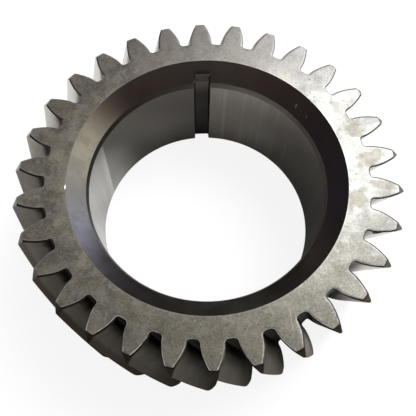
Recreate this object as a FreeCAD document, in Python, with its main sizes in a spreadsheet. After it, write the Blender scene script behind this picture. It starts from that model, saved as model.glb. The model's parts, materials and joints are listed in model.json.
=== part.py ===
"""Crankshaft timing gear: one turned, broached and hobbed steel ring, pressed on a shaft.

The gear lies on its back face, with the bore along +Z and the wide chamfered mouth of
the bore upwards.  The origin is on the bore axis, on the back face, and +Y points at
the keyway.  Going up, the teeth turn clockwise seen from above: a left-hand helix.
"""
import FreeCAD, Part
import math
import os
import Sketcher

SIZES = {
    # Teeth, in the section square to the tooth
    "teeth": 30,
    "normal_module": 4.0,
    "pressure_angle": 20.0,
    "helix_angle": 16.0,
    "profile_shift": 0.1,
    "addendum": 5.88,
    "dedendum": 5.8,
    "root_fillet": 1.5,
    "edge_bevel": 0.45,
    # Turned ring
    "face_width": 47.0,
    "tip_chamfer_length": 3.0,
    "tip_chamfer_drop": 2.6,
    "bore_radius": 42.5,
    "back_chamfer": 1.5,
    # Mouth of the bore: a wide chamfer, then a slow lead-in taper, widths from the bore
    "mouth_width": 6.7,
    "throat_width": 0.7,
    "throat_depth": 5.8,
    "lead_in_depth": 7.9,
    # Keyway, depth measured from the bore
    "key_width": 6.0,
    "key_depth": 3.0,
    "key_corner": 0.4,
}

# Directions in degrees from +X, lengths in millimetres.  Overruns carry a cut clear of
# the metal.  The chord counts keep a flank within 0.03 mm of its involute, and the steps
# keep it within 0.05 mm of the helix: as close as the meshes are that leave the model.
KEY_DIRECTION = 90.0
BORE_OVERRUN = 1.0
HOB_OVERRUN = 0.5
BEVEL_OVERRUN = 0.3
FLANK_CHORDS = 5
FILLET_CHORDS = 3
FILLET_HANDLE = 0.55
HELIX_STEPS = 3


def make_sheet(doc):
    """The driving dimensions, one to a row, each with its name as alias."""
    sheet = doc.addObject("Spreadsheet::Sheet", "Sizes")
    for row, (name, value) in enumerate(SIZES.items(), start=1):
        sheet.set(f"A{row}", name)
        sheet.set(f"B{row}", str(value))
        sheet.setAlias(f"B{row}", name)
    doc.recompute()
    return sheet


def origin_feature(body, role):
    """The body's own origin plane or axis of this role."""
    return next(item for item in body.Origin.OriginFeatures if item.Role == role)


def new_sketch(body, name, role):
    """An empty sketch on one of the body's origin planes."""
    sketch = body.newObject("Sketcher::SketchObject", name)
    sketch.AttachmentSupport = [(origin_feature(body, role), "")]
    sketch.MapMode = "FlatFace"
    return sketch


def bound_polygon(sketch, corners):
    """A closed polygon with each corner's x and y bound to an expression on the sheet."""
    points = []
    for name, *expressions in corners:
        values = [sketch.evalExpression(text) for text in expressions]
        points.append(FreeCAD.Vector(*values, 0))
    for index, start in enumerate(points):
        end = points[(index + 1) % len(points)]
        sketch.addGeometry(Part.LineSegment(start, end), False)
    for index, (name, *expressions) in enumerate(corners):
        following = (index + 1) % len(points)
        sketch.addConstraint(Sketcher.Constraint("Coincident", index, 2, following, 1))
        for axis, text in zip("XY", expressions):
            value = sketch.evalExpression(text)
            constraint = Sketcher.Constraint(f"Distance{axis}", -1, 1, index, 1, value)
            sketch.renameConstraint(sketch.addConstraint(constraint), f"{name}_{axis}")
            sketch.setExpression(f"Constraints.{name}_{axis}", text)


def turn_blank(body):
    """The solid blank, turned with chamfered tips at both ends.  It is made as two half
    turns, because a tooth that crosses the seam of a full turn is lost where the helix
    carries it on by more than a pitch."""
    reference = "Sizes.teeth * Sizes.normal_module / 2 / cos(Sizes.helix_angle)"
    tip = f"{reference} + Sizes.addendum + Sizes.profile_shift * Sizes.normal_module"
    shoulder = f"{tip} - Sizes.tip_chamfer_drop"
    for name, backwards in (("first_half", False), ("second_half", True)):
        sketch = new_sketch(body, f"{name}_section", "XZ_Plane")
        bound_polygon(sketch, [
            ("axis_back", "0", "0"),
            ("back_outer", shoulder, "0"),
            ("tip_back", tip, "Sizes.tip_chamfer_length"),
            ("tip_top", tip, "Sizes.face_width - Sizes.tip_chamfer_length"),
            ("top_outer", shoulder, "Sizes.face_width"),
            ("axis_top", "0", "Sizes.face_width"),
        ])
        half = body.newObject("PartDesign::Revolution", name)
        half.Profile = sketch
        half.ReferenceAxis = (origin_feature(body, "Z_Axis"), [""])
        half.Angle = 180
        half.Reversed = backwards
        half.Refine = False
    return half


def bore_blank(body):
    """The bore with a small chamfer at the back, and at the top the wide mouth chamfer
    that runs into the lead-in taper."""
    radius = "Sizes.bore_radius"
    face = "Sizes.face_width"
    mouth = f"{radius} + Sizes.mouth_width"
    throat = f"{radius} + Sizes.throat_width"
    below = f"{radius} + Sizes.back_chamfer + {BORE_OVERRUN}"
    sketch = new_sketch(body, "bore_section", "XZ_Plane")
    bound_polygon(sketch, [
        ("axis_back", "0", f"-{BORE_OVERRUN}"),
        ("below_back", below, f"-{BORE_OVERRUN}"),
        ("bore_back", radius, "Sizes.back_chamfer"),
        ("lead_in", radius, f"{face} - Sizes.lead_in_depth"),
        ("throat", throat, f"{face} - Sizes.throat_depth"),
        ("mouth", mouth, face),
        ("above_mouth", mouth, f"{face} + {BORE_OVERRUN}"),
        ("axis_top", "0", f"{face} + {BORE_OVERRUN}"),
    ])
    bored = body.newObject("PartDesign::Groove", "bore")
    bored.Profile = sketch
    bored.ReferenceAxis = (origin_feature(body, "Z_Axis"), [""])
    bored.Angle = 360
    bored.Refine = False
    return bored


def cut_keyway(body):
    """The keyway, broached along the whole bore, with a small radius on each side of
    its floor."""
    half = "Sizes.key_width / 2"
    inside = "Sizes.bore_radius - Sizes.key_depth"
    floor = "Sizes.bore_radius + Sizes.key_depth"
    sketch = new_sketch(body, "keyway_section", "XY_Plane")
    bound_polygon(sketch, [
        ("inside_left", f"-{half}", inside),
        ("inside_right", half, inside),
        ("floor_right", half, floor),
        ("floor_left", f"-{half}", floor),
    ])
    keyway = body.newObject("PartDesign::Pocket", "keyway")
    keyway.Profile = sketch
    keyway.Type = "ThroughAll"
    keyway.Reversed = True
    keyway.Refine = False
    body.Document.recompute()

    sheet = body.Document.Sizes
    corner = math.hypot(sheet.key_width / 2, sheet.bore_radius + sheet.key_depth)
    floor_edges = []
    for number, edge in enumerate(keyway.Shape.Edges, start=1):
        ends = [math.hypot(vertex.X, vertex.Y) for vertex in edge.Vertexes]
        if edge.Length > sheet.face_width / 2 and all(abs(end - corner) < 0.01 for end in ends):
            floor_edges.append(f"Edge{number}")
    corners = body.newObject("PartDesign::Fillet", "keyway_corners")
    corners.Base = (keyway, floor_edges)
    corners.setExpression("Radius", "Sizes.key_corner")
    corners.Refine = False
    return corners


class ToothGap:
    """The space between two teeth, in the section square to the gear's axis, with its
    middle on the X axis of its sketch."""

    def __init__(self, sheet):
        helix = math.radians(sheet.helix_angle)
        normal_pressure = math.radians(sheet.pressure_angle)
        pressure = math.atan(math.tan(normal_pressure) / math.cos(helix))
        reference_radius = sheet.teeth * sheet.normal_module / 2 / math.cos(helix)
        shift = sheet.profile_shift * sheet.normal_module
        self.base_radius = reference_radius * math.cos(pressure)
        self.root_radius = reference_radius + shift - sheet.dedendum
        self.outer_radius = reference_radius + shift + sheet.addendum + HOB_OVERRUN
        self.fillet = sheet.root_fillet
        # Half of the gap's angle on the base circle
        thickening = 2 * sheet.profile_shift * math.tan(normal_pressure)
        gap_share = math.pi / 2 - thickening
        self.base_angle = gap_share / sheet.teeth - self.involute(pressure)

    @staticmethod
    def involute(pressure):
        """The angle that an involute has turned from its base circle."""
        return math.tan(pressure) - pressure

    def half_angle(self, radius, widening):
        """Half of the gap's angle at a radius.  Setting an involute back by a distance
        is the same as turning it by that distance along the base circle."""
        pressure = math.acos(min(1.0, self.base_radius / radius))
        return self.base_angle + self.involute(pressure) + widening / self.base_radius

    def flank(self, flank_start, widening):
        """Points on the involute, from outside the tips down to its start.  The tangent
        of the pressure angle changes by even steps of its power 3/2, so the chords
        between the points are equally close to the curve."""
        tangents = [math.sqrt((radius / self.base_radius) ** 2 - 1)
                    for radius in (self.outer_radius, flank_start)]
        outer, inner = [tangent ** 1.5 for tangent in tangents]
        points = []
        for step in range(FLANK_CHORDS + 1):
            power = outer + (inner - outer) * step / FLANK_CHORDS
            radius = self.base_radius * math.sqrt(1 + power ** (4 / 3))
            points.append((radius, self.half_angle(radius, widening)))
        return points

    def side(self, widening):
        """One side of the gap as radius and angle, from outside the tips down the flank
        and round the root fillet, a cubic curve, to the root circle."""
        root = self.root_radius - widening
        fillet = self.fillet + widening
        fillet_top = root + fillet
        flank_start = max(fillet_top, self.base_radius)
        points = self.flank(flank_start, widening)
        top_angle = points[-1][1]
        if flank_start > fillet_top:
            points.append((fillet_top, top_angle))
        foot_angle = top_angle - fillet / root
        handle = FILLET_HANDLE * fillet
        radii = [fillet_top, fillet_top - handle, root, root]
        angles = [top_angle, top_angle, foot_angle + handle / root, foot_angle]
        for step in range(1, FILLET_CHORDS + 1):
            share = step / FILLET_CHORDS
            rest = 1 - share
            weights = [rest ** 3, 3 * rest ** 2 * share, 3 * rest * share ** 2, share ** 3]
            points.append((sum(w * r for w, r in zip(weights, radii)),
                           sum(w * a for w, a in zip(weights, angles))))
        return points

    def draw(self, sketch, widening):
        """Both sides of the gap, the root between them and a line outside the tips.  The
        widening sets the whole outline back into the metal."""
        side = self.side(widening)
        outline = side + [(radius, -angle) for radius, angle in reversed(side)]
        points = [FreeCAD.Vector(radius * math.cos(angle), radius * math.sin(angle), 0)
                  for radius, angle in outline]
        for start, end in zip(points, points[1:] + points[:1]):
            line = sketch.addGeometry(Part.LineSegment(start, end), False)
            sketch.addConstraint(Sketcher.Constraint("Block", line))


def gap_section(body, gap, name, height, widening):
    """A gap's outline at a height, turned there as the helix turns the teeth.  On the
    upper face a tooth is in line with the keyway, so a gap is half a pitch past it."""
    sketch = new_sketch(body, name, "XY_Plane")
    gap.draw(sketch, widening)
    vertical = FreeCAD.Vector(0, 0, 1)
    sketch.AttachmentOffset = FreeCAD.Placement(vertical, FreeCAD.Rotation(vertical, 1))
    turn = f"({height} - Sizes.face_width) / (Sizes.teeth * Sizes.normal_module / 2)"
    start = f"{KEY_DIRECTION} + 180 / Sizes.teeth"
    angle = f"{start} - {turn} * sin(Sizes.helix_angle) * 180 / pi"
    sketch.setExpression("AttachmentOffset.Base.z", height)
    sketch.setExpression("AttachmentOffset.Rotation.Angle", angle)
    return sketch


def cut_teeth(body):
    """One gap, cut through sections that follow the helix, then repeated around the
    ring.  Outside both faces the sections flare, which bevels the gap's edges at 45
    degrees."""
    gap = ToothGap(body.Document.Sizes)
    flare = body.Document.Sizes.edge_bevel + BEVEL_OVERRUN
    sections = [gap_section(body, gap, "gap_flare_back", f"-{BEVEL_OVERRUN}", flare)]
    for step in range(HELIX_STEPS + 1):
        share = f"{step} / {HELIX_STEPS}"
        height = f"Sizes.edge_bevel + (Sizes.face_width - 2 * Sizes.edge_bevel) * {share}"
        sections.append(gap_section(body, gap, f"gap_section_{step}", height, 0))
    above = f"Sizes.face_width + {BEVEL_OVERRUN}"
    sections.append(gap_section(body, gap, "gap_flare_top", above, flare))
    hobbed = body.newObject("PartDesign::SubtractiveLoft", "tooth_gap")
    hobbed.Profile = sections[0]
    hobbed.Sections = sections[1:]
    hobbed.Ruled = True
    hobbed.Refine = False
    teeth = body.newObject("PartDesign::PolarPattern", "tooth_gaps")
    teeth.Originals = [hobbed]
    teeth.Axis = (origin_feature(body, "Z_Axis"), [""])
    teeth.Angle = 360
    teeth.setExpression("Occurrences", "Sizes.teeth")
    body.Tip = teeth
    return teeth


def check(doc, stages):
    """Stop on a failed object, on a shape that isn't one sound solid, or on a cut that
    took nothing away."""
    for item in doc.Objects:
        if "Invalid" in item.State or "Error" in item.State:
            raise RuntimeError(f"{item.Label} failed: {item.State}")
    shapes = [stage.Shape for stage in stages]
    for stage, shape in zip(stages, shapes):
        if shape.isNull() or not shape.isValid() or len(shape.Solids) != 1:
            raise RuntimeError(f"{stage.Label} is not one valid solid")
    for stage, before, after in zip(stages[1:], shapes, shapes[1:]):
        if after.Volume >= before.Volume:
            raise RuntimeError(f"{stage.Label} cut nothing")


def main():
    doc = FreeCAD.newDocument("crankshaft_gear")
    make_sheet(doc)
    body = doc.addObject("PartDesign::Body", "crankshaft_gear")
    body.Label = "crankshaft_gear"
    body.Placement = FreeCAD.Placement()
    blank = turn_blank(body)
    bored = bore_blank(body)
    keyway = cut_keyway(body)
    teeth = cut_teeth(body)
    doc.recompute()
    check(doc, [blank, bored, keyway, teeth])
    os.makedirs("parts", exist_ok=True)
    body.Shape.exportStep(f"parts/{body.Label}.step")


main()
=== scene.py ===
"""A crankshaft's timing gear, photographed lying on its back face on white paper."""
import json
import math

import bmesh
import bpy
import numpy as np
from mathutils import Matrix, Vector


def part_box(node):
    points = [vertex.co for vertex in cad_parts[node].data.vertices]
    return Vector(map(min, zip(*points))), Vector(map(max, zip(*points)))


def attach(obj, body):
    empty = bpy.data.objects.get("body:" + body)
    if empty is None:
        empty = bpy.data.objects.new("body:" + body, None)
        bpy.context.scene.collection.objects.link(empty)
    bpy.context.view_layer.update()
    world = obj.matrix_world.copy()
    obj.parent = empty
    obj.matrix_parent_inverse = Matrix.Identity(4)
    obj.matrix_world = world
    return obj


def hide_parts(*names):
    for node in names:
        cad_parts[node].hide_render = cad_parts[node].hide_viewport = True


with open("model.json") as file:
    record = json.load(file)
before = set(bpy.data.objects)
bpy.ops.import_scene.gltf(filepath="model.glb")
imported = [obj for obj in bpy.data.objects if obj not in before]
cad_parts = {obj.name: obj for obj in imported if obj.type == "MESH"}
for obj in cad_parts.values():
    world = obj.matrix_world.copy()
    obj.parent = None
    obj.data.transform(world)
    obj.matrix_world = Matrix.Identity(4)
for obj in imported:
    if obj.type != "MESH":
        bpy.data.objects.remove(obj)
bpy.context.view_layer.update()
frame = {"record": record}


# Camera: held above the front of the gear, a hand's length away, so the gear's far
# side looks clearly smaller than its near side.  The lens axis passes left of and
# below the middle of the picture, which the two shifts repeat.
CAMERA_PLACE = (-0.00503, -0.08588, 0.2183)
CAMERA_TURNS = (20.518, 1.602, -1.085)
LENS = 47.24
SENSOR = 36.0
LENS_SHIFT = (0.0608, 0.0661)
CLIP_START = 0.01

camera_data = bpy.data.cameras.new("camera")
camera_data.sensor_width = SENSOR
camera_data.lens = LENS
camera_data.shift_x, camera_data.shift_y = LENS_SHIFT
camera_data.clip_start = CLIP_START
camera = bpy.data.objects.new("camera", camera_data)
camera.location = CAMERA_PLACE
camera.rotation_euler = [math.radians(turn) for turn in CAMERA_TURNS]
bpy.context.scene.collection.objects.link(camera)
bpy.context.scene.camera = camera


# Shape of the gear: one steel ring, turned and chamfered, with its teeth hobbed and
# ground along a left-hand helix and its keyway broached.  Its width, tips and bore
# are the frame's; the rest are a standard hob's and a turner's sizes, in metres.
high_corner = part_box("crankshaft_gear")[1]
FACE_WIDTH = high_corner.z
TIP_RADIUS = high_corner.x
bore_mount = next(mount for mount in frame["record"]["mounts"] if mount["name"] == "bore")
BORE_RADIUS = bore_mount["dims"]["r_mm"] / 1000

TEETH = 30
NORMAL_MODULE = 0.004
NORMAL_PRESSURE = math.radians(20)
HELIX = math.radians(16)
PROFILE_SHIFT = 0.1
DEDENDUM = 0.0058
ROOT_FILLET = 0.0011
FILLET_HANDLE = 0.55
TIP_ROUND = 0.0003
TIP_CHAMFER_LENGTH = 0.003
TIP_CHAMFER_DROP = 0.0026
BACK_ROUND_LENGTH = 0.006
MOUTH_RADIUS = 0.0492
THROAT_RADIUS = 0.0432
THROAT_DEPTH = 0.0058
LEAD_IN_DEPTH = 0.0079
BACK_CHAMFER = 0.0015
KEY_HALF_WIDTH = 0.003
KEY_DEPTH = 0.003
KEY_FLOOR = BORE_RADIUS + KEY_DEPTH
KEY_CORNER = 0.0004
KEY_EDGE_BREAK = 0.0002
KEY_DIRECTION = math.radians(90)

# The bevel on the tooth edges has its own edges worn round: depths from the face, how far
# each is set back, and the share of that at a flank's foot and at its tip.
BEVEL_DEPTHS = [0, 0.00004, 0.0004, 0.00055]
BEVEL_SETBACKS = [0.0006, 0.00042, 0.00006, 0]
BEVEL_AT_FOOT = 0.9
BEVEL_AT_TIP = 1.25

REFERENCE_RADIUS = TEETH * NORMAL_MODULE / 2 / math.cos(HELIX)
PRESSURE = math.atan(math.tan(NORMAL_PRESSURE) / math.cos(HELIX))
BASE_RADIUS = REFERENCE_RADIUS * math.cos(PRESSURE)
ROOT_RADIUS = REFERENCE_RADIUS + PROFILE_SHIFT * NORMAL_MODULE - DEDENDUM
TWIST = math.tan(HELIX) / REFERENCE_RADIUS
HALF_PITCH = math.pi / TEETH

# Steps along each part of half a tooth's outline, and places across a tooth or a pitch
FLOOR_STEPS = 2
FILLET_STEPS = 5
FLANK_STEPS = 8
ROUND_STEPS = 3
ACROSS = np.linspace(-1, 1, 13)


def tooth_half_angle(radius, inset):
    """Half of a tooth's angle at a radius: half a pitch less the gap's share, plus what
    the involute has turned since the reference circle.  An inset turns it inwards."""
    def involute(pressure):
        return np.tan(pressure) - pressure

    pressure = np.arccos(np.minimum(1, BASE_RADIUS / radius))
    at_reference = HALF_PITCH / 2 + 2 * PROFILE_SHIFT * math.tan(NORMAL_PRESSURE) / TEETH
    turned = involute(PRESSURE) - involute(pressure)
    return at_reference + turned - inset / BASE_RADIUS


def weigh(weights, values):
    """The sum of the values, each times its weight."""
    return sum(weight * value for weight, value in zip(weights, values))


def half_outline(tip, inset):
    """Half of a tooth's outline as radius and angle from the tooth's middle line, from
    the middle of the gap outwards: an arc along the root, a cubic fillet, an involute
    flank, and a quadratic round at the tip.  One row for each tip radius and inset, which
    grows evenly from the flank's foot to its tip."""
    foot_inset = BEVEL_AT_FOOT * inset
    tip_inset = BEVEL_AT_TIP * inset
    root = ROOT_RADIUS - foot_inset
    top = ROOT_RADIUS + ROOT_FILLET
    fillet = top - root
    top_angle = tooth_half_angle(top, foot_inset)
    foot_angle = top_angle + fillet / root

    share = np.linspace(0, 1, FLOOR_STEPS + 1)[:-1]
    floor_radius = root + 0 * share
    floor_angle = HALF_PITCH + (foot_angle - HALF_PITCH) * share

    share = np.linspace(0, 1, FILLET_STEPS + 1)[:-1]
    rest = 1 - share
    weights = [rest ** 3, 3 * rest ** 2 * share, 3 * rest * share ** 2, share ** 3]
    handle = FILLET_HANDLE * fillet
    fillet_radius = weigh(weights, [root, root, top - handle, top + 0 * root])
    fillet_angle = weigh(weights, [foot_angle, foot_angle - handle / root, top_angle, top_angle])

    share = np.linspace(0, 1, FLANK_STEPS + 1)[:-1]
    flank_radius = top + (tip - TIP_ROUND - top) * share
    flank_angle = tooth_half_angle(flank_radius, foot_inset + (tip_inset - foot_inset) * share)

    share = np.linspace(0, 1, ROUND_STEPS + 1)
    rest = 1 - share
    weights = [rest ** 2, 2 * rest * share, share ** 2]
    flank_end = tooth_half_angle(tip - TIP_ROUND, tip_inset)
    corner = tooth_half_angle(tip, tip_inset)
    round_radius = weigh(weights, [tip - TIP_ROUND, tip, tip])
    round_angle = weigh(weights, [flank_end, corner, corner - TIP_ROUND / tip])
    radius = np.hstack([floor_radius, fillet_radius, flank_radius, round_radius])
    angle = np.hstack([floor_angle, fillet_angle, flank_angle, round_angle])
    return radius, angle


def tooth_middles(height):
    """The angle of every tooth's middle line at a height: the helix turns it back as it
    climbs, and on the upper face the first tooth is in line with the keyway."""
    first = KEY_DIRECTION + (FACE_WIDTH - height) * TWIST
    return first - 2 * HALF_PITCH * np.arange(TEETH)


def points_at(radius, angle, height):
    """Points in the gear's frame: the radius times the angle's cosine and sine, at the
    height."""
    flat = np.stack([radius * np.cos(angle), radius * np.sin(angle)], axis=-1)
    heights = np.broadcast_to(height, flat.shape[:-1])
    return np.concatenate([flat, heights[..., None]], axis=-1)


def toothed_side(heights):
    """The gear's outside as a grid of heights by points around it: each tooth's two half
    outlines joined by its tip land.  Near the upper end the tips follow the chamfer's
    cone, and near the back a parabola, as there the corner is rolled over.  In the last
    stretch the whole outline is set back by the edge bevel."""
    from_top = FACE_WIDTH - heights[:, None]
    from_back = heights[:, None]
    cone = np.clip(1 - from_top / TIP_CHAMFER_LENGTH, 0, 1)
    roll = np.clip(1 - from_back / BACK_ROUND_LENGTH, 0, 1) ** 2
    tip = TIP_RADIUS - TIP_CHAMFER_DROP * (cone + roll)
    inset = np.interp(np.minimum(from_top, from_back), BEVEL_DEPTHS, BEVEL_SETBACKS)
    radius, angle = half_outline(tip, inset)
    land_angle = angle[:, -1:] * ACROSS[1:-1]
    land_radius = tip + 0 * land_angle
    radii = np.hstack([radius, land_radius, radius[:, ::-1]])
    angles = np.hstack([-angle, land_angle, angle[:, ::-1]])
    middles = np.stack([tooth_middles(height) for height in heights])
    angles = middles[:, :, None] + angles[:, None, :]
    radii = np.broadcast_to(radii[:, None, :], angles.shape)
    return points_at(radii, angles, heights[:, None, None])


RUNG_DIP = 0.002


def tooth_ends(height):
    """The ends of the teeth on a face: rungs from flank to flank.  Those at the gap's
    floor and fillet dip towards the axis in the middle, so no two of them touch."""
    tip = np.array([[TIP_RADIUS - TIP_CHAMFER_DROP]])
    inset = np.array([BEVEL_SETBACKS[:1]])
    radius, angle = (row[0][:, None] for row in half_outline(tip, inset))
    rung = np.arange(len(radius))[:, None]
    dip = RUNG_DIP * np.clip(1 - rung / (FLOOR_STEPS + FILLET_STEPS), 0, 1)
    radii = radius - dip * (1 - ACROSS ** 2)
    angles = tooth_middles(height)[:, None, None] + angle * ACROSS
    return points_at(np.broadcast_to(radii, angles.shape), angles, height)


# Where the first point beside the keyway lies, as a share of half a pitch
BESIDE_KEY = 4.9 / 6


def bore_rows(radii, heights):
    """Rows of points around the bore, thirteen for each tooth pitch: circles of these
    radii, apart from the keyway, whose walls and floor cut into every circle that is
    smaller than its floor.  The floor's corners and the walls' edges are broken."""
    radii = radii[:, None, None]
    angles = KEY_DIRECTION - 2 * HALF_PITCH * np.arange(TEETH)[:, None] + HALF_PITCH * ACROSS
    rows = points_at(radii + 0 * angles, angles, heights[:, None, None])

    def circle(x):
        return np.sqrt(radii[:, 0, 0] ** 2 - x ** 2)

    wall = KEY_HALF_WIDTH
    edge = wall + KEY_EDGE_BREAK
    floor_edge = wall - KEY_CORNER
    beside = BESIDE_KEY * HALF_PITCH
    at_wall = circle(wall)
    wall_foot = np.maximum(KEY_FLOOR - KEY_CORNER, at_wall)
    wall_top = np.minimum(circle(edge) + KEY_EDGE_BREAK, KEY_FLOOR - KEY_CORNER)
    half = [
        (0, np.maximum(KEY_FLOOR, circle(0))),
        (floor_edge, np.maximum(KEY_FLOOR, circle(floor_edge))),
        (wall, wall_foot),
        (wall, np.maximum(wall_top, at_wall)),
        (edge, circle(edge)),
        (radii[:, 0, 0] * math.sin(beside), radii[:, 0, 0] * math.cos(beside)),
    ]
    middle = len(ACROSS) // 2
    for step, (x, y) in enumerate(half):
        rows[:, 0, middle + step, 0] = -x
        rows[:, 0, middle - step, 0] = x
        rows[:, 0, middle + step, 1] = y
        rows[:, 0, middle - step, 1] = y
    return rows


def between(inner, outer, steps):
    """A flat grid between two rows of points, in straight lines."""
    share = np.linspace(0, 1, steps + 1)[:, None, None, None]
    return inner + (outer - inner) * share


def stack_rows(corners):
    """Radii and heights down a turned profile, in straight lines from corner to corner.
    Each corner is its radius, its height and the number of steps that lead to it."""
    radii, heights = [corners[0][0]], [corners[0][1]]
    for radius, height, steps in corners[1:]:
        share = np.arange(1, steps + 1) / steps
        heights.extend(heights[-1] + (height - heights[-1]) * share)
        radii.extend(radii[-1] + (radius - radii[-1]) * share)
    return np.array(radii), np.array(heights)


# The bore's profile has a row where the keyway's walls and floor come out in the mouth.
# Seven of its rows belong to the mouth, and nine to the mouth and the lead-in.
MOUTH_ROWS = 7
LEAD_IN_ROWS = 9
chamfer_slope = THROAT_DEPTH / (MOUTH_RADIUS - THROAT_RADIUS)
key_reach = math.hypot(KEY_HALF_WIDTH, KEY_FLOOR)
bore_profile = stack_rows([
    (MOUTH_RADIUS, FACE_WIDTH),
    (key_reach, FACE_WIDTH - (MOUTH_RADIUS - key_reach) * chamfer_slope, 3),
    (KEY_FLOOR, FACE_WIDTH - (MOUTH_RADIUS - KEY_FLOOR) * chamfer_slope, 1),
    (THROAT_RADIUS, FACE_WIDTH - THROAT_DEPTH, 2),
    (BORE_RADIUS, FACE_WIDTH - LEAD_IN_DEPTH, 2),
    (BORE_RADIUS, BACK_CHAMFER, 12),
    (BORE_RADIUS + BACK_CHAMFER, 0, 1),
])
bore_grid = bore_rows(*bore_profile)

# Rows up the toothed side: close together in the bevels, the rolled back corner and the
# tip chamfer, and even between these.
BACK_ROUND_START = 0.0012
BACK_ROUND_ROWS = 6
HELIX_ROWS = 19
TIP_CHAMFER_DEPTHS = [TIP_CHAMFER_LENGTH, 0.0021, 0.0013]
back_round = np.linspace(BACK_ROUND_START, BACK_ROUND_LENGTH, BACK_ROUND_ROWS)
middle_heights = np.linspace(BACK_ROUND_LENGTH, FACE_WIDTH - TIP_CHAMFER_LENGTH, HELIX_ROWS)[1:-1]
top_depths = np.array([*TIP_CHAMFER_DEPTHS, *BEVEL_DEPTHS[::-1]])
side_heights = np.hstack([BEVEL_DEPTHS, back_round, middle_heights, FACE_WIDTH - top_depths])
side_grid = toothed_side(side_heights)
top_teeth = tooth_ends(FACE_WIDTH)
back_teeth = tooth_ends(0)

# On the back face the helix has carried the teeth almost exactly one pitch round, so
# the tooth over the keyway there is the next one.
WEB_STEPS = 5
top_web = between(bore_grid[0], top_teeth[:, 0], WEB_STEPS)
back_web = between(bore_grid[-1], np.roll(back_teeth[:, 0], -1, axis=0), WEB_STEPS)

# Finishes, in the order in which their materials are made below.  The outermost step of
# each bevel is its worn edge, with a painted highlight.
FACE, MOUTH, LEAD_IN, BORE, TEETH_SIDE, BEVEL, WORN_EDGE_AND_HIGHLIGHT = range(7)
BEVEL_ROWS = len(BEVEL_DEPTHS)
grids = [
    (side_grid[BEVEL_ROWS - 1:1 - BEVEL_ROWS].swapaxes(0, 1), TEETH_SIDE),
    (side_grid[:2].swapaxes(0, 1), WORN_EDGE_AND_HIGHLIGHT),
    (side_grid[1:BEVEL_ROWS].swapaxes(0, 1), BEVEL),
    (side_grid[-BEVEL_ROWS:-1].swapaxes(0, 1), BEVEL),
    (side_grid[-2:].swapaxes(0, 1), WORN_EDGE_AND_HIGHLIGHT),
    (top_teeth, FACE),
    (back_teeth, FACE),
    (top_web.swapaxes(0, 1), FACE),
    (back_web.swapaxes(0, 1), FACE),
    (bore_grid[:MOUTH_ROWS].swapaxes(0, 1), MOUTH),
    (bore_grid[MOUTH_ROWS - 1:LEAD_IN_ROWS].swapaxes(0, 1), LEAD_IN),
    (bore_grid[LEAD_IN_ROWS - 1:].swapaxes(0, 1), BORE),
]

WELD_DISTANCE = 2e-6
SHARP_FROM = math.radians(18)


def weld(name, grids):
    """One closed mesh from grids of points, each with its finish, whose rims meet."""
    points, faces, finishes = [], [], []
    count = 0
    for grid, finish in grids:
        patches, rows, columns = grid.shape[:3]
        index = count + np.arange(patches * rows * columns).reshape(patches, rows, columns)
        corners = [index[:, :-1, :-1], index[:, :-1, 1:], index[:, 1:, 1:], index[:, 1:, :-1]]
        quads = np.stack(corners, axis=-1).reshape(-1, 4)
        points.append(grid.reshape(-1, 3))
        faces.append(quads)
        finishes.append(np.full(len(quads), finish))
        count += index.size
    mesh = bpy.data.meshes.new(name)
    mesh.from_pydata(np.vstack(points), [], np.vstack(faces))
    mesh.polygons.foreach_set("material_index", np.hstack(finishes))
    mesh.polygons.foreach_set("use_smooth", np.ones(len(mesh.polygons), bool))
    work = bmesh.new()
    work.from_mesh(mesh)
    bmesh.ops.remove_doubles(work, verts=work.verts, dist=WELD_DISTANCE)
    bmesh.ops.recalc_face_normals(work, faces=work.faces)
    work.to_mesh(mesh)
    work.free()
    mesh.set_sharp_from_angle(angle=SHARP_FROM)
    return mesh


gear = bpy.data.objects.new("gear_ring", weld("gear_ring", grids))
bpy.context.scene.collection.objects.link(gear)
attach(gear, "root")
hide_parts("crankshaft_gear")

# How far a mark on the upper face reaches down into the steel
MARK_DEPTH = 0.01


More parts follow.
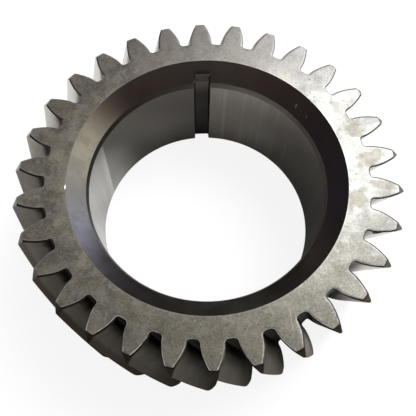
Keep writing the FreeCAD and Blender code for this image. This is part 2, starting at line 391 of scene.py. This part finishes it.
class Signal:
    """A socket of a material's nodes.  Arithmetic on signals adds Math nodes, and node()
    adds any other kind and gives its output."""

    def __init__(self, socket):
        self.socket = socket

    def node(self, kind, settings=None, inputs=None, output=0):
        """A new node's output, from its kind, its settings, which are made first, and the
        values or links of its sockets."""
        tree = self.socket.id_data
        made = tree.nodes.new(kind)
        for name, value in (settings or {}).items():
            setattr(made, name, value)
        for name, value in (inputs or {}).items():
            if isinstance(value, Signal):
                tree.links.new(value.socket, made.inputs[name])
            else:
                made.inputs[name].default_value = value
        return Signal(made.outputs[output])

    def math(self, operation, *terms):
        return self.node("ShaderNodeMath", {"operation": operation}, dict(enumerate(terms)))

    def __add__(self, other):
        return self.math("ADD", self, other)

    def __sub__(self, other):
        return self.math("SUBTRACT", self, other)

    def __rsub__(self, other):
        return self.math("SUBTRACT", other, self)

    def __mul__(self, other):
        return self.math("MULTIPLY", self, other)

    __radd__ = __add__
    __rmul__ = __mul__

    def __abs__(self):
        return self.math("ABSOLUTE", self)

    def larger(self, other):
        return self.math("MAXIMUM", self, other)

    def vector_math(self, operation, *others, output=0):
        """Vector Math on this signal and others.  Output 1 gives a result that is a number."""
        terms = dict(enumerate((self, *others)))
        return self.node("ShaderNodeVectorMath", {"operation": operation}, terms, output)

    def dot(self, vector):
        """Its dot product with a vector."""
        return self.vector_math("DOT_PRODUCT", vector, output=1)

    def length(self):
        return self.vector_math("LENGTH", output=1)

    def towards(self, vector):
        """How far it lies towards a direction, as the cosine between."""
        return self.vector_math("NORMALIZE").dot(vector)

    def from_axis(self):
        """Distance from the gear's axis."""
        return self.vector_math("MULTIPLY", (1, 1, 0)).length()

    def step(self, start, end):
        """0 before the start, 1 past the end, and a smooth rise between."""
        limits = {"Value": self, "From Min": start, "From Max": end}
        return self.node("ShaderNodeMapRange", {"interpolation_type": "SMOOTHSTEP"}, limits)

    def near(self, point, reach):
        """1 at a point, falling to 0 at this distance from it."""
        return 1 - self.vector_math("DISTANCE", point, output=1).step(0, reach)

    def within(self, mark, start, end, ragged=0):
        """1 inside a mark on the upper face and 0 outside it, falling between these shares
        of its half lengths.  A mark is an ellipse: its place and half lengths, which are in
        millimetres, and its turn in degrees.  A ragged signal moves its rim."""
        x, y, length, width, turn = mark
        inputs = {"Vector": self, "Location": (x / 1000, y / 1000, FACE_WIDTH),
                  "Rotation": (0, 0, math.radians(turn)),
                  "Scale": (length / 1000, width / 1000, MARK_DEPTH)}
        local = self.node("ShaderNodeMapping", {"vector_type": "TEXTURE"}, inputs)
        return 1 - (local.length() + ragged).step(start, end)

    def noise(self, grain, detail, roughness, stretch=(1, 1, 1)):
        """Noise whose grain is this many metres, stretched by these factors."""
        scale = [1 / factor for factor in stretch]
        stretched = self.node("ShaderNodeMapping", inputs={"Vector": self, "Scale": scale})
        inputs = {"Vector": stretched, "Scale": 1 / grain, "Detail": detail, "Roughness": roughness}
        return self.node("ShaderNodeTexNoise", inputs=inputs)

    def tint(self, first, second):
        """A colour between two colours, by this signal from 0 to 1."""
        colors = {0: self}
        for index, color in ((6, first), (7, second)):
            colors[index] = color if isinstance(color, Signal) else (*color, 1)
        return self.node("ShaderNodeMix", {"data_type": "RGBA"}, colors, output=2)


def place_on(material):
    """The place on a piece, in its own coordinates, as a signal."""
    coordinates = material.node_tree.nodes.new("ShaderNodeTexCoord")
    return Signal(coordinates.outputs["Object"])


def new_material(name):
    """A metal material, with its shader and the place on the piece as a signal."""
    material = bpy.data.materials.new(name)
    material.use_nodes = True
    shader = material.node_tree.nodes["Principled BSDF"]
    shader.inputs["Metallic"].default_value = 1
    return material, shader, place_on(material)


def connect(shader, **inputs):
    """Links signals to the shader's inputs, named with underscores for spaces."""
    for name, value in inputs.items():
        shader.id_data.links.new(value.socket, shader.inputs[name.replace("_", " ")])


def bump(height, strength, depth):
    """A normal that follows a height signal."""
    inputs = {"Height": height, "Strength": strength, "Distance": depth}
    return height.node("ShaderNodeBump", inputs=inputs)


# Ground faces of the ring and teeth: fine grain under patches of brown and slate film,
# with pits, specks, scratches and a painted glint at the mouth's edge, a white patch.  The
# right has wiped beige patches with pale veins, and less film and grit where the highlight
# falls, which is painted light; the front is yellowed, and behind the keyway it is clean.
WIPED_PATCHES = [
    (53.6, 19, 6.5, 3.2, 96),
    (57.5, 5, 5.5, 3, 27),
    (60.5, -5.2, 4.5, 1.7, -15),
    (51.5, -9.5, 4.5, 3, 60),
]
BRIGHT_MARKS = [
    (-5.3, -50.7, 0.4, 0.4, 0),
    (2.5, -60.9, 0.35, 0.35, 0),
    (1.1, -50.2, 0.25, 0.25, 0),
    # A painted glint at the mouth's edge, around the white patch below
    (-49.45, -1.8, 1.9, 0.4, 88),
    (25.1, -51, 6, 0.14, -86),
    (26.9, -52.5, 5, 0.12, -84),
]
DARK_MARKS = [
    (24.6, -55.6, 1.2, 0.9, 60),
    (-53, 0.6, 3.2, 1.8, 80),
    (-55, 7, 3, 1.6, 30),
    (-50.5, 22, 4, 2, 60),
]
LIGHT_MARKS = [
    (-46.8, 19, 4.5, 2.4, 65),
    (-52, 10.5, 4.5, 2.8, 20),
    (-50.5, -15, 5, 3, 60),
    (-41, -30, 5, 3, 100),
]
# A painted glint on the mouth's edge: a white patch, not metallic, that the lamp lights like a
# highlight
PAINTED_GLINT = (-49.3, -2.4, 1, 0.35, 88)
# Distances from the axis between which the olive film and the rubbed rim fade out
OLIVE_EDGE = (0.05, 0.057)
RUBBED_RIM = (0.0491, 0.0499)
GRAIN_DEPTH = 0.00003

face_steel, shader, place = new_material("face_steel")
# Where the window's highlight falls on the right: film and grit are painted thinner there, which is
# painted light
sheen = place.near((0.058, 0.012, FACE_WIDTH), 0.045)
yellowed = place.near((0.026, -0.05, FACE_WIDTH), 0.08)
polished = place.near((0.01, 0.06, FACE_WIDTH), 0.056)
paler_left = place.near((-0.053, 0.002, FACE_WIDTH), 0.03)
quiet = place.near((0.034, 0.05, FACE_WIDTH), 0.035)
cloudy = place.noise(0.014, 4, 0.6).step(0.34, 0.66)
brown = place.noise(0.008, 4, 0.65).step(0.44, 0.6)
slate = place.noise(0.0055, 4, 0.65).step(0.48, 0.6)
olive = place.noise(0.0035, 4, 0.65).step(0.5, 0.62) * (1 - place.from_axis().step(*OLIVE_EDGE))
ragged = place.noise(0.003, 4, 0.65) - 0.5
grain = place.noise(0.0006, 1, 0.6)
pits = place.noise(0.0011, 1, 0.5, (1, 1, 2)).step(0.68, 0.76)
sparks = place.noise(0.0009, 0, 0.5).step(0.77, 0.82)

color = cloudy.tint((0.46, 0.455, 0.435), (0.62, 0.615, 0.595))
color = (yellowed * 0.8).tint(color, (0.58, 0.545, 0.45))
color = (polished * 0.7).tint(color, (0.76, 0.75, 0.72))
color = (paler_left * 0.4).tint(color, (0.66, 0.64, 0.58))
color = (quiet * 0.6).tint(color, (0.52, 0.51, 0.475))
# Share of film: real film, painted thinner on the highlight's side
soil_less_in_highlight = (1 - 0.75 * polished) * (0.85 - 0.6 * sheen) * (1 - 0.8 * quiet)
color = (brown * soil_less_in_highlight).tint(color, (0.43, 0.405, 0.34))
color = (slate * soil_less_in_highlight * (1 - 0.75 * yellowed)).tint(color, (0.31, 0.315, 0.305))
color = (olive * 0.7).tint(color, (0.74, 0.72, 0.635))
for mark in DARK_MARKS:
    blotch = place.within(mark, 0, 1.1, 3 * ragged)
    color = (blotch * 0.45).tint(color, (0.26, 0.25, 0.23))
for mark in LIGHT_MARKS:
    blotch = place.within(mark, 0, 1.1, 3.5 * ragged)
    color = (blotch * 0.8).tint(color, (0.74, 0.715, 0.62))
wiped = 0
for patch in WIPED_PATCHES:
    wiped = wiped + place.within(patch, 0.8, 1.05, 2.6 * ragged)
wiped = wiped + sheen * place.noise(0.0022, 3, 0.6).step(0.52, 0.6) * 0.45
veins = 1 - abs(place.noise(0.0035, 3, 0.6) - 0.5).step(0.008, 0.03)
color = (wiped * (1 - 0.85 * veins)).tint(color, (0.57, 0.54, 0.455))
grit_less_in_highlight = 0.3 - 0.15 * sheen - 0.1 * polished
color = (grain.step(0.5, 0.66) * grit_less_in_highlight).tint(color, (0.8, 0.79, 0.76))
color = (grain.step(0.48, 0.34) * grit_less_in_highlight).tint(color, (0.24, 0.235, 0.22))
rim = 1 - (place.from_axis() + 0.0016 * ragged).step(*RUBBED_RIM)
color = (rim * 0.6).tint(color, (0.75, 0.74, 0.71))
color = (pits * 0.5).tint(color, (0.2, 0.18, 0.16))
color = (sparks * (0.5 - 0.3 * polished)).tint(color, (0.92, 0.92, 0.9))
for mark in BRIGHT_MARKS:
    color = (place.within(mark, 0.5, 1) * 0.7).tint(color, (0.95, 0.95, 0.94))
# Painted glint: white and not metallic, standing in for a highlight on the edge
painted_glint = place.within(PAINTED_GLINT, 0.5, 1)
color = painted_glint.tint(color, (0.85, 0.85, 0.84))
rough = 0.34 + 0.05 * brown + 0.1 * (grain - 0.5) - 0.04 * cloudy + 0.1 * wiped
relief = bump(grain + pits * -0.6, 0.4, GRAIN_DEPTH)
connect(shader, Base_Color=color, Roughness=rough, Metallic=1 - painted_glint, Normal=relief)
gear.data.materials.append(face_steel)


# Turned mouth: smooth, with faint rings, a thin uneven film in bands, and nicks at the
# upper right.  It has painted bluish reflections at the lower left and right and a painted
# beige highlight at the upper left, and is reddish brown at the upper right and beside the
# keyway, whose floor is dark where it comes out.
MOUTH_MIDDLE = 0.044
MOUTH_PATCHES = [
    # Painted reflection: bluish at the lower left
    ((-0.035, -0.029), 0.036, 0.9, (0.63, 0.65, 0.78)),
    ((0.028, 0.036), 0.034, 0.8, (0.56, 0.46, 0.45)),
    # Painted reflection: bluish at the right
    ((0.046, -0.004), 0.036, 0.9, (0.46, 0.45, 0.6)),
    ((-0.0355, 0.0295), 0.017, 0.75, (0.34, 0.3, 0.26)),
    # Painted highlight: beige at the upper left
    ((-0.0435, 0.0135), 0.017, 0.8, (0.64, 0.63, 0.56)),
    ((0.002, -0.0465), 0.034, 0.8, (0.66, 0.66, 0.65)),
]
NICKS = [(0.0343, 0.0296, 0.0434), (0.0346, 0.0301, 0.0438), (0.038, 0.0252, 0.0435)]
NICK_REACH = 0.0005
CONE_RISE = 1 / chamfer_slope
CONE_APEX = MOUTH_RADIUS - CONE_RISE * FACE_WIDTH
LATHE_DEPTH = 0.00002

mouth_steel, shader, place = new_material("mouth_steel")
rings = place.noise(0.0005, 2, 0.6, (12, 12, 1))
film_and_painted_shade = place.noise(0.011, 3, 0.5).step(0.35, 0.7)
bands = place.noise(0.005, 3, 0.6, (1, 1, 5)).step(0.45, 0.65)
color = film_and_painted_shade.tint((0.5, 0.49, 0.47), (0.43, 0.415, 0.39))
for middle, reach, share, patch_color in MOUTH_PATCHES:
    patch = place.near((*middle, MOUTH_MIDDLE), reach)
    color = (patch * share).tint(color, patch_color)
color = (bands * 0.4).tint(color, (0.36, 0.33, 0.325))
bare = 0
for nick in NICKS:
    bare = bare + place.near(nick, NICK_REACH)
color = (bare * 0.8).tint(color, (0.02, 0.02, 0.02))
above_cone = place.from_axis() - CONE_RISE * place.dot((0, 0, 1)) - CONE_APEX
color = above_cone.step(0.0001, 0.0003).tint(color, (0.15, 0.145, 0.135))
beside_keyway = place.near((-0.022, 0.04, MOUTH_MIDDLE), 0.02)
color = (beside_keyway * 0.8).tint(color, (0.58, 0.49, 0.44))
rough = 0.2 + 0.06 * (rings - 0.5) + 0.04 * film_and_painted_shade
relief = bump(rings, 0.12, LATHE_DEPTH)
connect(shader, Base_Color=color, Roughness=rough, Metallic=1 - 0.6 * bare, Normal=relief)
gear.data.materials.append(mouth_steel)


# Lead-in under the mouth: a narrow turned cone, brown with old oil, with a painted sheen
# right of the keyway and painted shade, darkest at the left.  It takes in a stretch of the keyway's
# floor.
KEYWAY_IN_LEAD_IN = (0.0434, 0.0438)

lead_in_steel, shader, place = new_material("lead_in_steel")
color = place.noise(0.011, 3, 0.5).step(0.35, 0.65).tint((0.22, 0.19, 0.175), (0.17, 0.15, 0.14))
# Painted sheen right of the keyway
color = (place.near((0.012, 0.041, 0.04), 0.034) * 0.9).tint(color, (0.43, 0.4, 0.37))
# Painted shade at the left
color = place.near((-0.043, 0.004, 0.04), 0.045).step(0, 0.5).tint(color, (0.15, 0.145, 0.13))
color = place.from_axis().step(*KEYWAY_IN_LEAD_IN).tint(color, (0.16, 0.155, 0.145))
rough = 0.35 + 0.15 * place.noise(0.002, 2, 0.6)
connect(shader, Base_Color=color, Roughness=rough)
gear.data.materials.append(lead_in_steel)


# Ground bore: satin, with faint streaks along the axis.  Left of the keyway lies painted
# shade, the shadow of the bore's rim, whose left edge runs straight down the wall beside a
# painted lit strip.  The keyway's floor is dark, darkest at mid height.
BRIGHT_STREAKS = [(77.7, 0.45), (67, 0.3), (56.6, 0.25), (47, 0.2)]
STREAK_HALF_WIDTH = 0.0012
# Edges of the painted shade and of the painted lit strip beside it
SHADE_EDGE = (0.0163, 0.0169)
LIT_STRIP_EDGE = (0.012, 0.016)
KEYWAY_IN_BORE = (0.0427, 0.0432)

bore_steel, shader, place = new_material("bore_steel")
streaks = place.noise(0.004, 3, 0.7, (1, 1, 25))
fine_streaks = place.noise(0.0009, 2, 0.6, (1, 1, 30))
smear = place.noise(0.02, 3, 0.5, (1, 1, 2)).step(0.35, 0.65)
color = smear.tint((0.41, 0.4, 0.38), (0.47, 0.46, 0.445))
color = (streaks.step(0.48, 0.62) * 0.15).tint(color, (0.3, 0.29, 0.275))
color = (streaks.step(0.42, 0.32) * 0.3).tint(color, (0.66, 0.64, 0.6))
for azimuth, share in BRIGHT_STREAKS:
    azimuth = math.radians(azimuth)
    offset = place.dot((-math.sin(azimuth), math.cos(azimuth), 0))
    streak = 1 - abs(offset).step(0, STREAK_HALF_WIDTH)
    color = (streak * share).tint(color, (0.7, 0.69, 0.65))
height = place.dot((0, 0, 1))
left_half = 1 - place.dot((1, 0, 0)).step(-0.001, 0.001)
backwards = place.dot((0, 1, -0.05))
# Painted shade: the bore rim's shadow on the wall left of the keyway, with a straight edge
film_and_painted_shade = backwards.step(*SHADE_EDGE) * left_half
# Painted light: a lit strip beside the shade's edge
lit_strip = backwards.step(*LIT_STRIP_EDGE) * left_half - film_and_painted_shade
color = (lit_strip * 0.6).tint(color, (0.66, 0.65, 0.62))
# The painted shade is lighter near the back face and deepest near the keyway
film_and_painted_shade = film_and_painted_shade * (0.5 + 0.5 * height.step(0.002, 0.014))
film_and_painted_shade = film_and_painted_shade * (0.84 + 0.16 * place.near((-0.009, 0.0415, 0.028), 0.025))
color = film_and_painted_shade.tint(color, (0.2, 0.195, 0.185))
# The keyway's floor: dark, darkest at mid height and lighter at the top
floor_color = height.step(0.002, 0.022).tint((0.14, 0.12, 0.135), (0.075, 0.07, 0.068))
floor_color = height.step(0.0305, 0.0395).tint(floor_color, (0.19, 0.18, 0.17))
color = place.from_axis().step(*KEYWAY_IN_BORE).tint(color, floor_color)
rough = 0.15 + 0.04 * streaks + 0.05 * (fine_streaks - 0.5)
relief = bump(fine_streaks, 0.2, LATHE_DEPTH)
connect(shader, Base_Color=color, Roughness=rough, Normal=relief)
gear.data.materials.append(bore_steel)


# Ground flanks and tip lands: fine lines along the teeth, brown stains towards the tips and
# painted shade on those at the front left, old oil and painted shade in the roots, and one black
# spot of dirt at the right.
SPOT = (56.6, -21.8, 1.6, 0.9, 0)
# Where the roots' old oil and painted shade fade out
ROOT_OIL_AND_SHADE_EDGE = (0.0585, 0.0615)
TIP_EDGE = (0.0655, 0.067)

flank_steel, shader, place = new_material("flank_steel")
from_axis = place.from_axis()
lines = place.noise(0.0006, 2, 0.6, (1, 1, 20))
cloudy = place.noise(0.007, 4, 0.6).step(0.35, 0.65)
stains = place.noise(0.003, 3, 0.6).step(0.5, 0.66)
uneven = place.noise(0.005, 3, 0.6) - 0.5
# Old oil and painted shade in the roots, less on the right
root_oil_and_shade = 1 - (from_axis + 0.004 * uneven).step(*ROOT_OIL_AND_SHADE_EDGE)
root_oil_and_shade = root_oil_and_shade * (1 - place.near((0.062, 0.008, 0.03), 0.055))
tips = (from_axis + 0.002 * uneven).step(*TIP_EDGE)
dirt = place.within(SPOT, 0.7, 1, 0.6 * uneven)
color = cloudy.tint((0.43, 0.41, 0.375), (0.54, 0.53, 0.50))
color = (stains * 0.5).tint(color, (0.42, 0.35, 0.3))
color = (tips * 0.35).tint(color, (0.46, 0.42, 0.38))
# Painted shade: the tips at the front left are darkened, in a brown tone
color = (tips * place.near((-0.05, -0.047, 0.044), 0.05)).tint(color, (0.2, 0.15, 0.13))
color = (tips * place.near((0.045, -0.052, 0.044), 0.03) * 0.8).tint(color, (0.5, 0.38, 0.29))
color = (root_oil_and_shade * 0.9).tint(color, (0.035, 0.03, 0.028))
color = dirt.tint(color, (0.015, 0.015, 0.015))
rough = 0.33 + 0.1 * (lines - 0.5) + 0.05 * cloudy + 0.6 * dirt
relief = bump(lines, 0.2, LATHE_DEPTH)
connect(shader, Base_Color=color, Roughness=rough, Metallic=1 - dirt, Normal=relief)
gear.data.materials.append(flank_steel)


# Bevels along the tooth edges: filed and dark, and lighter at the back on the right, where the face
# is clean too.
bevel_steel, shader, place = new_material("bevel_steel")
cloudy = place.noise(0.004, 3, 0.6).step(0.35, 0.65)
cleaner = place.near((0.03, 0.062, FACE_WIDTH), 0.06).step(0.1, 0.6)
color = cloudy.tint((0.17, 0.16, 0.155), (0.27, 0.26, 0.25))
color = cleaner.tint(color, (0.5, 0.49, 0.47))
rough = 0.3 + 0.1 * place.noise(0.001, 2, 0.6)
connect(shader, Base_Color=color, Roughness=rough)
gear.data.materials.append(bevel_steel)


# Worn edges: where the faces meet the bevels the metal is rubbed bright, with gaps, and
# a painted highlight makes it brightest at the front.
worn_and_highlight_steel, shader, place = new_material("worn_and_highlight_steel")
shader.inputs["Metallic"].default_value = 0.7
# Painted highlight: brightest at the front
front = 1 - place.dot((-0.2, 1, 0)).step(-0.045, -0.02)
rubbed_and_highlight = place.noise(0.0025, 3, 0.6).step(0.4, 0.58) * (0.1 + 0.45 * front)
color = rubbed_and_highlight.tint((0.3, 0.29, 0.27), (0.92, 0.92, 0.9))
rough = 0.45 + 0.15 * place.noise(0.001, 2, 0.6)
connect(shader, Base_Color=color, Roughness=rough)
gear.data.materials.append(worn_and_highlight_steel)


# White paper under the gear: a flat sheet, larger than the view, that runs out of
# sight.  The camera and the metal see it near white, with part of the gear's shadow.
PAPER_SIZE = 6.0
PAPER_GAP = 0.0001
PAPER_SHADE = 0.86
SHADOW_LEFT = 0.12
WHITE = (1, 1, 1, 1)

half = PAPER_SIZE / 2
corners = [(-half, -half), (half, -half), (half, half), (-half, half)]
paper_mesh = bpy.data.meshes.new("paper_floor")
paper_mesh.from_pydata([(x, y, -PAPER_GAP) for x, y in corners], [], [(0, 1, 2, 3)])
paper_floor = bpy.data.objects.new("paper_floor", paper_mesh)
bpy.context.scene.collection.objects.link(paper_floor)


def white_when_seen(tree):
    """1 for the camera, for a mirrored ray and for one through glass, else 0."""
    outputs = tree.nodes.new("ShaderNodeLightPath").outputs
    by_camera = Signal(outputs["Is Camera Ray"])
    mirrored = Signal(outputs["Is Glossy Ray"])
    return by_camera.larger(mirrored).larger(Signal(outputs["Is Transmission Ray"]))


def show(material, surface):
    """Gives a material the surface that a shader's signal makes."""
    tree = material.node_tree
    tree.links.new(surface.socket, tree.nodes["Material Output"].inputs["Surface"])


paper = bpy.data.materials.new("paper")
paper.use_nodes = True
shader = paper.node_tree.nodes["Principled BSDF"]
shader.inputs["Base Color"].default_value = (PAPER_SHADE, PAPER_SHADE, PAPER_SHADE, 1)
shader.inputs["Roughness"].default_value = 0.95
shader.inputs["Specular IOR Level"].default_value = 0.1
seen = white_when_seen(paper.node_tree) * (1 - SHADOW_LEFT)
glow = seen.node("ShaderNodeEmission", inputs={"Color": WHITE})
mixed = {0: seen, 1: Signal(shader.outputs[0]), 2: glow}
show(paper, seen.node("ShaderNodeMixShader", inputs=mixed))
paper_mesh.materials.append(paper)


# Room around the table, which only the metal shows: a dim tent with a light wall to the
# right, a grey ceiling that is lighter towards the back, and a bright round window high
# up behind the gear on the right.
TENT_RADIUS = 1.0
TENT_COLUMNS = 96
TENT_ROWS = 24
TENT_FOOT = -0.02
TENT_OPENING = 0.001
WINDOW_AZIMUTH = 42
WINDOW_ELEVATION = 50


def direction(azimuth, elevation=0):
    """A unit vector from its angle round from +X and its angle above the table, in
    degrees."""
    azimuth = math.radians(azimuth)
    elevation = math.radians(elevation)
    flat = math.cos(elevation)
    return (flat * math.cos(azimuth), flat * math.sin(azimuth), math.sin(elevation))


def grid_mesh(name, points):
    """A mesh from a grid of points, with a quad between each four neighbours."""
    index = np.arange(points.shape[0] * points.shape[1]).reshape(points.shape[:2])
    corners = [index[:-1, :-1], index[:-1, 1:], index[1:, 1:], index[1:, :-1]]
    mesh = bpy.data.meshes.new(name)
    mesh.from_pydata(points.reshape(-1, 3), [], np.stack(corners, axis=-1).reshape(-1, 4))
    return mesh


def half_sphere(radius):
    """Half a sphere open at the floor, as a grid of rows by elevation and columns by
    azimuth: radius times (cos e cos a, cos e sin a, sin e)."""
    azimuth = np.linspace(0, 2 * math.pi, TENT_COLUMNS + 1)[None, :]
    elevation = np.linspace(TENT_FOOT, math.pi / 2 - TENT_OPENING, TENT_ROWS + 1)[:, None]
    x = np.cos(elevation) * np.cos(azimuth)
    y = np.cos(elevation) * np.sin(azimuth)
    z = np.sin(elevation) + 0 * azimuth
    return radius * np.stack([x, y, z], axis=-1)


def only_in_metal(piece):
    """Stage dressing that the camera and the lamps don't meet, and the metal shows."""
    piece.visible_camera = False
    piece.visible_diffuse = False
    piece.visible_shadow = False
    piece.visible_transmission = False
    piece.visible_volume_scatter = False


room_tent = bpy.data.objects.new("room_tent", grid_mesh("room_tent", half_sphere(TENT_RADIUS)))
bpy.context.scene.collection.objects.link(room_tent)
only_in_metal(room_tent)
tent_cloth = bpy.data.materials.new("tent_cloth")
tent_cloth.use_nodes = True
place = place_on(tent_cloth)
height = place.towards((0, 0, 1))
backwards = place.towards((0, 1, 0))
window = place.towards(direction(WINDOW_AZIMUTH, WINDOW_ELEVATION)).step(0.9, 0.985)
ceiling = height.step(0.56, 0.95)
right_wall = place.towards(direction(15)).step(0.6, 0.86) * (1 - height.step(0.45, 0.8))
warmer = place.towards((0.5, -0.85, 0)).step(-0.6, 0.5)
wall_color = warmer.tint((0.82, 0.85, 1.0), (1.0, 0.94, 0.78))
glow_color = ceiling.tint((1.0, 0.8, 0.76), (1.0, 0.94, 0.82))
glow_color = right_wall.tint(glow_color, wall_color)
glow_color = window.tint(glow_color, (0.93, 0.965, 1.0))
above = (0.35 * ceiling + 2.45 * window) * (0.42 + 1.45 * backwards.larger(0))
strength = 0.026 + 0.55 * right_wall + above
glow = {"Color": glow_color, "Strength": strength}
show(tent_cloth, strength.node("ShaderNodeEmission", inputs=glow))
room_tent.data.materials.append(tent_cloth)


# Cards on the paper, which only the metal shows, with painted shade and light.  Two lie in
# the bore, where its own wall shades the paper: black painted shade in the middle, and
# around that grey, but a painted lit patch at the left.  The third lies around the gear:
# white behind it, and painted shade at the front left, where the gear's shadow falls, and
# further off.
CARD_HEIGHT = 0.0003
CARD_SIDES = 96
MIDDLE_CARD = (0.0005, 0.012)
BORE_CARD = (0.012, 0.0457)
RING_CARD = (0.056, 0.95)
CARD_ROUGHNESS = 0.9


def lay_card(name, radius):
    """A flat ring between an inner and an outer radius, each times the azimuth's cosine
    and sine."""
    azimuth = np.linspace(0, 2 * math.pi, CARD_SIDES + 1)[:, None]
    flat = np.stack([radius * np.cos(azimuth), radius * np.sin(azimuth)], axis=-1)
    heights = np.full((*flat.shape[:2], 1), CARD_HEIGHT)
    card = bpy.data.objects.new(name, grid_mesh(name, np.concatenate([flat, heights], axis=-1)))
    bpy.context.scene.collection.objects.link(card)
    only_in_metal(card)
    return card


def card_paint(name, card):
    """A dull paint, with its shader and the place on the card as a signal."""
    material, shader, place = new_material(name)
    shader.inputs["Metallic"].default_value = 0
    shader.inputs["Roughness"].default_value = CARD_ROUGHNESS
    card.data.materials.append(material)
    return shader, place


bore_middle = lay_card("bore_card_middle", MIDDLE_CARD)
shader, place = card_paint("black_card", bore_middle)
shader.inputs["Base Color"].default_value = (0.06, 0.055, 0.05, 1)

bore_card = lay_card("bore_card", BORE_CARD)
shader, place = card_paint("bore_card_paint", bore_card)
distance = place.length()
behind = place.towards(direction(85))
inner = behind.step(0.8, 0.97).tint((0.26, 0.25, 0.23), (0.4, 0.38, 0.355))
outer = behind.step(0.1, 0.8).tint((0.2, 0.19, 0.18), (0.41, 0.39, 0.365))
outer = place.towards(direction(84)).step(0.76, 0.99).tint(outer, (0.84, 0.8, 0.745))
shaded = distance.step(0.022, 0.034).tint(inner, outer)
shaded = distance.step(0.034, 0.046).tint(shaded, (0.29, 0.275, 0.26))
lit = place.towards(direction(135)).step(0.82, 1).tint((0.5, 0.5, 0.49), (0.8, 0.8, 0.79))
left_part = (place.towards(direction(182)) - 13 * (distance - 0.034)).step(0.5, 0.743)
connect(shader, Base_Color=left_part.tint(shaded, lit))

ring_card = lay_card("ring_card", RING_CARD)
shader, place = card_paint("shaded_card", ring_card)
left = place.towards(direction(180))
front_left = place.towards(direction(245))
back_left = place.towards(direction(140))
front = place.towards(direction(272))
dark_color = left.step(0.45, 0.98).tint((0.125, 0.12, 0.105), (0.21, 0.2, 0.185))
near_color = front_left.step(-0.1, 0.45).tint((0.8, 0.8, 0.8), dark_color)
far_color = back_left.step(-0.1, 0.8).tint((0.13, 0.13, 0.14), (0.37, 0.37, 0.37))
far_color = front.step(0, 0.6).tint(far_color, (0.02, 0.018, 0.016))
spread = place.length() - 0.04 * place.towards(direction(190)).larger(0)
connect(shader, Base_Color=spread.step(0.085, 0.15).tint(near_color, far_color))


# Light: a wide window behind the gear on the right lights the paper, and the room fills
# the shadows.  The metal shows the tent's window, so the lamp itself stays out of it.
LAMP_DISTANCE = 1.4
LAMP_SIZE = 0.9
LAMP_POWER = 40
ROOM_FILL = 0.45

lamp_data = bpy.data.lights.new("window_light", "AREA")
lamp_data.shape = "SQUARE"
lamp_data.size = LAMP_SIZE
lamp_data.energy = LAMP_POWER
lamp = bpy.data.objects.new("window_light", lamp_data)
lamp.location = [LAMP_DISTANCE * part for part in direction(WINDOW_AZIMUTH, WINDOW_ELEVATION)]
lamp.rotation_euler = (math.radians(90 - WINDOW_ELEVATION), 0, math.radians(WINDOW_AZIMUTH + 90))
lamp.visible_glossy = False
bpy.context.scene.collection.objects.link(lamp)

world = bpy.data.worlds.new("room")
bpy.context.scene.world = world
world.use_nodes = True
background = world.node_tree.nodes["Background"]
background.inputs["Color"].default_value = WHITE
strength = ROOM_FILL + white_when_seen(world.node_tree) * (1 - ROOM_FILL)
world.node_tree.links.new(strength.socket, background.inputs["Strength"])

bpy.context.scene.view_settings.view_transform = "Standard"
